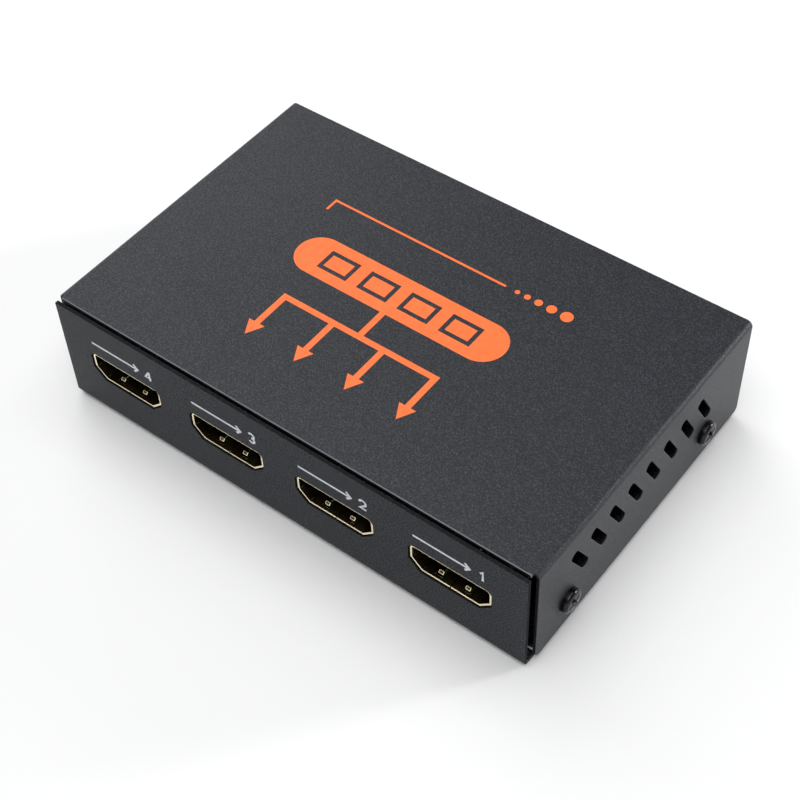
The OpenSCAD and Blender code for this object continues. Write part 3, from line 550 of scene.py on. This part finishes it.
# The faces chosen below get the almost black coat: painted shade.
def panel_edge(centre, normal):
    """Faces inside the front and rear panels' thickness that face neither to the front nor to the back."""
    in_panel = (abs(centre[1]) > -front_y - SHEET) & (centre[2] > BEND)
    return in_panel & (abs(normal[1]) < 0.5)


points, faces = cad_surface("cover")
points[:, 2] = np.minimum(points[:, 2], case_high[2] - INK)
# The second finish, on the sheared edges, is painted shade; the third, on the rounded edges, carries a painted
# highlight near the front.
cover_finishes = [case_paint, shade_painted_edge, edge_paint]  # faces, sheared edges, rounded edges
cover_sheet = make_piece("cover_sheet", (points, faces), cover_finishes,
                         stands_for=["cover"], bevel=SHEET_EDGE)
points, faces = cad_surface("base_tray")
points[:, 1] = np.maximum(points[:, 1], front_y + INK)
# The tray's faces and rounded edges take its darker coat, painted shade.
tray_finishes = [shaded_tray_paint, shade_painted_edge, shaded_tray_paint]
tray_sheet = make_piece("tray_sheet", (points, faces), tray_finishes,
                        stands_for=["base_tray"], bevel=TRAY_EDGE)
# Sheared faces of the cover and the tray take the almost black coat: painted shade.
shade_painted = refinish(cover_sheet, 1, cover_edge), refinish(tray_sheet, 1, panel_edge)
print("cover and tray with", shade_painted, "sheared faces")

# %% [markdown]
# ## Screws
#
# A pan-head screw is cold forged: a punch presses the head and its cross, and rolling squeezes the thread
# up. The head is drawn as a square grid that a formula spreads over a disc, so its grid lines can follow the
# walls of the cross. The grid's outer ring is then carried down the head's side and along the shank. On the
# shank the radius depends on the turn and the depth together, and that makes the thread's helix without any
# cutting.

# %% Screws
HEAD_EDGE, HEAD_DOME = 0.5, 0.16
CROSS_L, CROSS_W, CROSS_DEPTH = 2.6, 0.7, 0.7
CROSS_WALL = 0.03  # half the width of a recess wall's slope, as a share of the head's radius
CROSS_RISE = 0.3  # how much shallower the cross is at its ends
THREAD_DEPTH, TIP = 0.16, 0.7  # as shares of the shank's radius
CREST = 1.5  # how steep a ridge is before its crest cuts it flat
STEPS_PER_TURN = 8


def head_lines(radius):
    """Grid lines from the middle to the edge, close together at the cross's walls and the rounded edge."""
    arm, reach, flat = CROSS_W / 2 / radius, CROSS_L / 2 / radius, 1 - HEAD_EDGE / radius
    walls = [arm - CROSS_WALL, arm + CROSS_WALL, reach - CROSS_WALL, reach + CROSS_WALL]
    rounded = flat + (1 - flat) * np.sin(np.linspace(0, np.pi / 2, 6))
    in_cross, past_cross = np.linspace(arm, reach, 5)[1:-1], np.linspace(reach, flat, 4)[1:-1]
    half = np.sort(np.concatenate([[0, arm / 2], walls, in_cross, past_cross, rounded]))
    return np.concatenate([-half[:0:-1], half]), arm, reach


def screw_head(radius, height):
    """A square grid (u, v) on a disc by x = u sqrt(1 - v^2/2), y = v sqrt(1 - u^2/2). Its height falls in a
    quarter circle at the edge and drops by the cross's depth where both distances from an arm allow it; a
    shallow dome lowers all of it a little with the square of the radius."""
    line, arm, reach = head_lines(radius)
    u, v = np.meshgrid(line, line, indexing="ij")
    x, y = u * np.sqrt(1 - v**2 / 2), v * np.sqrt(1 - u**2 / 2)
    over = np.clip(np.hypot(x, y) * radius - (radius - HEAD_EDGE), 0, HEAD_EDGE)
    along, across = np.maximum(abs(u), abs(v)), np.minimum(abs(u), abs(v))
    in_arm, in_reach = (np.clip((limit + CROSS_WALL - d) / (2 * CROSS_WALL), 0, 1)
                        for limit, d in ((arm, across), (reach, along)))
    cross = CROSS_DEPTH * (1 - CROSS_RISE * along / reach) * in_arm * in_reach
    z = height - HEAD_EDGE + np.sqrt(HEAD_EDGE**2 - over**2) - cross - HEAD_DOME * (x**2 + y**2)
    return np.stack([x * radius, y * radius, z], -1)


def threaded_shank(rim, head_r, shank_r, length, pitch):
    """The rim's directions carried down: the head's side, its bearing face, then the shank. The shank's
    radius is a ridge with a flat crest over (depth / pitch + turn), and it fades out under the head and at
    the tip."""
    across = rim[:, :2] / np.linalg.norm(rim[:, :2], axis=1, keepdims=True)
    turn = np.arctan2(across[:, 1], across[:, 0]) / (2 * np.pi)
    depth = np.linspace(0, length, int(length / pitch * STEPS_PER_TURN))[:, None]
    ridge = np.clip(CREST * (1 - abs(2 * ((depth / pitch + turn) % 1) - 1)), 0, 1)
    ridge *= np.clip(depth / pitch - 0.5, 0, 1)
    radius = shank_r * (1 - THREAD_DEPTH + THREAD_DEPTH * ridge)
    radius = np.minimum(radius, TIP * shank_r + length - depth)
    radius = np.concatenate([np.full((1, len(turn)), head_r), radius, np.zeros((1, len(turn)))])
    z = np.concatenate([[[0.0]], -depth, [[-length]]]) + 0 * turn
    rows = np.concatenate([radius[..., None] * across, z[..., None]], -1)
    return np.concatenate([rim[None], rows])


def pan_screw(head_d, head_h, shank_d, length, pitch):
    """A screw along +Z: the head's grid, whose outer ring starts the head's side and the shank."""
    head = screw_head(head_d / 2, head_h)
    rim = np.concatenate([head[:-1, 0], head[-1, :-1], head[:0:-1, -1], head[0, :0:-1]])
    rows = threaded_shank(rim, head_d / 2, shank_d / 2, length, pitch)
    top = head.reshape(-1, 3), grid_faces(*head.shape[:2])
    return unite(top, (rows.reshape(-1, 3), grid_faces(*rows.shape[:2], ring_columns=True)))


def turned(points, degrees):
    """Points turned about +Z."""
    c, s = np.cos(np.radians(degrees)), np.sin(np.radians(degrees))
    return points @ np.array([[c, s, 0], [-s, c, 0], [0, 0, 1]])


CASE_HEAD_H, CASE_SHANK_D, CASE_PITCH, CASE_TURN = 1.2, 2.5, 0.45, 25.0
for side, side_name in ((1, "right"), (-1, "left")):
    for end in ("front", "rear"):
        node = f"case_screw_{side_name}_{end}"
        low, high = node_box(node)
        length, head_d = high[0] - low[0], high[1] - low[1]
        points, faces = pan_screw(head_d, CASE_HEAD_H, CASE_SHANK_D, length - CASE_HEAD_H, CASE_PITCH)
        points = turned(points, CASE_TURN)
        seat = (high if side > 0 else low) - side * np.array([CASE_HEAD_H, 0, 0])
        seat[1:] = (low[1:] + high[1:]) / 2
        points = seat + np.column_stack([side * points[:, 2], side * points[:, 0], points[:, 1]])
        make_piece(node + "_forged", (points, faces), [FINISHES["screw_black"]], node, [node])
print("four case screws of", np.round(length, 2), "mm")

# %% Board screws
BOARD_HEAD_H, BOARD_HEAD_D, BOARD_SHANK_D, BOARD_PITCH = 1.9, 5.4, 2.9, 0.5
FIRST_TURN, NEXT_TURN = 20, 25  # degrees, so that no two crosses stand alike
low, high = node_box("board_screws")
length = high[2] - low[2] - BOARD_HEAD_H
screw = pan_screw(BOARD_HEAD_D, BOARD_HEAD_H, BOARD_SHANK_D, length, BOARD_PITCH)
inset = BOARD_HEAD_D / 2
columns, lines = (low[0] + inset, high[0] - inset), (low[1] + inset, high[1] - inset)
places = [(x, y, high[2] - BOARD_HEAD_H) for x in columns for y in lines]
turns = [FIRST_TURN + NEXT_TURN * i for i in range(len(places))]
four = unite(*[(turned(screw[0], turn) + place, screw[1]) for turn, place in zip(turns, places)])
make_piece("board_screws_forged", four, [FINISHES["screw_steel"]], stands_for=["board_screws"])
print("four board screws, about", len(screw[1]), "faces each")

# %% [markdown]
# ## The print on the cover
#
# Printed marks are thin films of ink with crisp edges. Each is a flat surface first, in the two directions
# of the face that carries it: strips of even width along a path, rings, and frames between two rectangles.
# Blender's Solidify modifier then gives the film its thickness. The marks here are a plain picture of what
# the box does: one line comes in and splits into four.

# %% Print helpers
HAIR = 0.002  # parts strokes that cross, in depth
SHARPEST = 0.6  # keeps a strip's width bounded where its path turns back
RING_POINTS = 48


def arc(centre, radius, start, end, count=24):
    """Points on a circle from one angle to another, in degrees."""
    angle = np.radians(np.linspace(start, end, count))
    return np.column_stack([centre[0] + radius * np.cos(angle), centre[1] + radius * np.sin(angle)])


def strip(path, width):
    """A flat strip along a path: each point goes both ways along the direction that halves its bend."""
    path = np.array(path, float)
    step = np.diff(path, axis=0)
    step /= np.linalg.norm(step, axis=1, keepdims=True)
    before, after = np.vstack([step[:1], step]), np.vstack([step, step[-1:]])
    along = before + after
    along /= np.linalg.norm(along, axis=1, keepdims=True)
    reach = width / 2 / np.maximum((along * after).sum(1, keepdims=True), SHARPEST)
    side = np.column_stack([-along[:, 1], along[:, 0]]) * reach
    return np.concatenate([path + side, path - side]), grid_faces(2, len(path))


def ring(centre, inner, outer, start=0.0, end=360.0):
    """The surface between two arcs round one centre; the inner one may be a point."""
    points = np.concatenate([arc(centre, r, start, end, RING_POINTS) for r in (inner, outer)])
    return points, grid_faces(2, RING_POINTS)


def frame_strip(centre, inner, outer):
    """The surface between two rectangles round one centre; the inner one may be a point."""
    corners = np.array([(-0.5, -0.5), (0.5, -0.5), (0.5, 0.5), (-0.5, 0.5)])
    points = np.concatenate([corners * inner, corners * outer]) + centre
    return points, grid_faces(2, 4, ring_columns=True)


def print_film(name, marks, lay_out, ink):
    """All marks as one film: lay_out takes flat points to a depth below the printed face, and Solidify
    thickens them. Neighbours in the list lie a hair apart in depth, so crossing strokes share no surface."""
    laid = [(lay_out(points, INK / 2 + i % 3 * HAIR), faces) for i, (points, faces) in enumerate(marks)]
    film = make_piece(name, unite(*laid), [ink])
    film.data.shade_flat()
    thickness = film.modifiers.new("ink", "SOLIDIFY")
    thickness.thickness, thickness.offset = INK * MM, 0.0
    return film


print("print helpers ready")

# %% [markdown]
# ## What is printed
#
# The cover's design shows a bar with four screens, and in front of it one line that splits into four arrows.
# A rule with a row of growing dots closes it at the rear. The front panel has a short arrow and a numeral
# above each output. The numerals are strokes along arcs and straight lines, as a plotter would draw them, so
# they need no font.

# %% The cover's design
BAR_AT, BAR_CELL, BAR_H = (-1.5, 2.5), 8.2, 8.6
SCREEN_W, SCREEN_H, SCREEN_LINE = 6.0, 4.4, 0.8
TREE_W, TREE_SPACING, BUS_Y, ARROW_Y = 1.1, 10.0, -8.0, -15.0
ARROW_W, ARROW_H = 3.2, 3.0
RULE_Y, RULE_W, RULE_FROM, RULE_TO = 14.5, 0.45, -24.0, 11.0
RULE_TICK = 2.6
DOT_COUNT, DOT_STEP, DOT_R, DOT_GROWTH = 5, 0.9, 0.45, 1.25
PLACES = np.array([-1.5, -0.5, 0.5, 1.5])  # four in a row, in steps from the middle


def bar_with_screens():
    """Four cells, each a rectangular frame round a screen, and a half disc at each end of the row."""
    x, y = BAR_AT
    marks = []
    for i in PLACES:
        centre = np.array([x + i * BAR_CELL, y])
        marks.append(frame_strip(centre, (SCREEN_W, SCREEN_H), (BAR_CELL, BAR_H)))
        inner = SCREEN_W - 2 * SCREEN_LINE, SCREEN_H - 2 * SCREEN_LINE
        marks.append(frame_strip(centre, (0.0, 0.0), inner))
    for side, start in ((-1, 90), (1, -90)):
        marks.append(ring((x + side * 2 * BAR_CELL, y), 0.0, BAR_H / 2, start, start + 180))
    return marks


def splitting_line():
    """A trunk from the bar to a crosswise line, and four drops that end in arrowheads."""
    x, half = BAR_AT[0], TREE_W / 2
    marks = [strip([(x, BAR_AT[1] - BAR_H / 2), (x, BUS_Y + half)], TREE_W)]
    drops = x + PLACES * TREE_SPACING
    first, last = drops[0], drops[-1]
    marks.append(strip([(first, ARROW_Y), (first, BUS_Y), (last, BUS_Y), (last, ARROW_Y)], TREE_W))
    for drop in drops[1:-1]:
        marks.append(strip([(drop, BUS_Y - half), (drop, ARROW_Y)], TREE_W))
    for drop in drops:
        tip = drop, ARROW_Y - ARROW_H
        corners = [(drop - ARROW_W / 2, ARROW_Y), (drop + ARROW_W / 2, ARROW_Y), tip, tip]
        marks.append((np.array(corners), np.array([[0, 1, 2, 3]])))
    return marks


def rule_with_dots():
    """A thin rule with a tick at its end, then dots whose radius and spacing grow step by step."""
    marks = [strip([(RULE_FROM, RULE_Y - RULE_TICK), (RULE_FROM, RULE_Y), (RULE_TO, RULE_Y)], RULE_W)]
    radius = DOT_R * DOT_GROWTH ** np.arange(DOT_COUNT)
    place = RULE_TO + DOT_STEP + np.cumsum(2 * radius + DOT_STEP) - radius
    return marks + [ring((x, RULE_Y), 0.0, r) for x, r in zip(place, radius)]


def on_top(points, depth):
    """Flat points laid on the cover, the given depth below its top."""
    return np.column_stack([points, np.full(len(points), case_high[2] - depth)])


design = bar_with_screens() + splitting_line() + rule_with_dots()
print_film("cover_design", design, on_top, orange_ink)
print("a design of", len(design), "marks on the cover")

# %% The front marks
NUMERAL_H, NUMERAL_W, PEN = 2.1, 1.3, 0.42
MARK_Z = 17.3
ARROW_L, ARROW_HEAD = 10.2, 0.85
MARK_GAP = 1.6


def numeral(digit):
    """The paths of a digit from 1 to 4 in a box of one by one."""
    return {
        1: [[(0.2, 0.74), (0.55, 1.0), (0.55, 0.0)]],
        2: [[*arc((0.5, 0.7), 0.3, 170, -40) * [1.5, 1] - [0.25, 0], (0.06, 0.06), (1.0, 0.06)]],
        3: [arc((0.5, 0.74), 0.26, 150, -90) * [1.6, 1] - [0.3, 0],
            arc((0.5, 0.26), 0.26, 90, -150) * [1.6, 1] - [0.3, 0]],
        4: [[(0.75, 0.0), (0.75, 1.0)], [(0.72, 0.95), (0.05, 0.3), (1.0, 0.3)]],
    }[digit]


def output_mark(digit):
    """An arrow and a numeral in a row, about thirteen millimetres wide, centred on zero."""
    width = ARROW_L + MARK_GAP + NUMERAL_W
    tip, corner = -width / 2 + ARROW_L, np.array([width / 2 - NUMERAL_W, -NUMERAL_H / 2])
    barb = tip - ARROW_HEAD
    marks = [strip([(-width / 2, 0), (tip - PEN, 0)], PEN)]
    marks.append(strip([(barb, ARROW_HEAD), (tip, 0), (barb, -ARROW_HEAD)], PEN))
    marks += [strip(np.array(path) * [NUMERAL_W, NUMERAL_H] + corner, PEN) for path in numeral(digit)]
    return marks


def on_front(points, depth):
    """Flat points stood up in the front panel, the given depth behind its face."""
    return np.column_stack([points[:, 0], np.full(len(points), front_y + depth), points[:, 1]])


front_marks = []
for digit in (1, 2, 3, 4):
    low, high = node_box(f"output_{digit}_shell")
    middle = (low[0] + high[0]) / 2, MARK_Z
    front_marks += [(points + middle, faces) for points, faces in output_mark(digit)]
print_film("front_marks", front_marks, on_front, white_ink)
print(len(front_marks), "marks on the front panel")

# %% [markdown]
# ## Sockets, jack and board
#
# The shells are stamped sheet, the insulators and the jack are moulded and the board is milled, so all have
# small rounded edges. As with the case, copies of the imported solids get them from the Bevel modifier, with a
# width that suits each way of making. Further back than a rim's depth, a shell's gold is a much darker copy:
# painted shade.

# %% Sockets, jack and board
SHELL_EDGE, INSULATOR_EDGE, SPRING_EDGE = 0.1, 0.05, 0.06
RIM = 0.3
SOFT_EDGES = {"circuit_board": 0.1, "board_standoffs": 0.2, "power_jack_housing": 0.18,
              "power_jack_tag": 0.06, "power_led_legs": 0.05}
SOCKETS = "output_1", "output_2", "output_3", "output_4", "input"


def rounded_copy(node, width, body="case", second=()):
    """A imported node's surface again, with rounded edges and, if asked for, room for a second finish."""
    slot = SLOT_OF[node]
    finishes = [FINISHES[name] for name in (slot, *second)]
    if second and width:
        finishes.append(FINISHES[slot])
    return make_piece(node + "_rounded", cad_surface(node), finishes, body, [node], width)


for socket in SOCKETS:
    rounded_copy(f"{socket}_insulator", INSULATOR_EDGE)
    shell = rounded_copy(f"{socket}_shell", SHELL_EDGE, second=["shaded_shell_inside"])
    rim_y = np.abs(np.array(node_box(f"{socket}_shell"))[:, 1]).max()
    # Faces further back than a rim's depth behind the shell's front take the darker gold: painted shade.
    refinish(shell, 1, lambda centre, normal: abs(centre[1]) < rim_y - RIM)
for node, width in SOFT_EDGES.items():
    rounded_copy(node, width)
rounded_copy("power_jack_spring", SPRING_EDGE, "power_jack_spring")
print(2 * len(SOCKETS) + len(SOFT_EDGES) + 1, "rounded copies")

# %% [markdown]
# ## Parts on the board
#
# The chips are black resin with tinned leads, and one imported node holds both. What lies outside the resin's
# outline is a lead, so the place of a face decides its finish. The same idea parts a capacitor's plastic foot
# from its can. The crystal's drawn metal and the inductor's pressed body are well rounded.

# %% Parts on the board
LEAD_REACH = 1.0  # how far leads stand out of the resin
CAN_FOOT = 1.2
NUDGE = 0.01  # keeps faces that lie on a limit on its inner side
CRYSTAL_EDGE, INDUCTOR_EDGE = 0.7, 0.35


def outside(node, reach_x, reach_y):
    """A test for faces in the outer part of a node's box, reach_x and reach_y deep."""
    low, high = node_box(node)
    middle, half = (low + high) / 2, (high - low) / 2
    limit = half - [reach_x, reach_y, 0.0] + NUDGE
    return lambda centre, normal: (abs(centre.T - middle) > limit)[:, :2].any(1)


leads = 0
for node, reach_x in (("splitter_chip", LEAD_REACH), ("config_memory", 0.0), ("voltage_regulator", 0.0)):
    chip = rounded_copy(node, 0.0, second=["tin"])
    leads += refinish(chip, 1, outside(node, reach_x, LEAD_REACH))
cans = rounded_copy("bulk_capacitors", 0.0, second=["chip_plastic"])
foot_top = node_box("bulk_capacitors")[0][2] + CAN_FOOT
refinish(cans, 1, lambda centre, normal: centre[2] < foot_top - NUDGE)
rounded_copy("clock_crystal", CRYSTAL_EDGE)
rounded_copy("power_inductor", INDUCTOR_EDGE)
print(leads, "tinned faces on three chips")
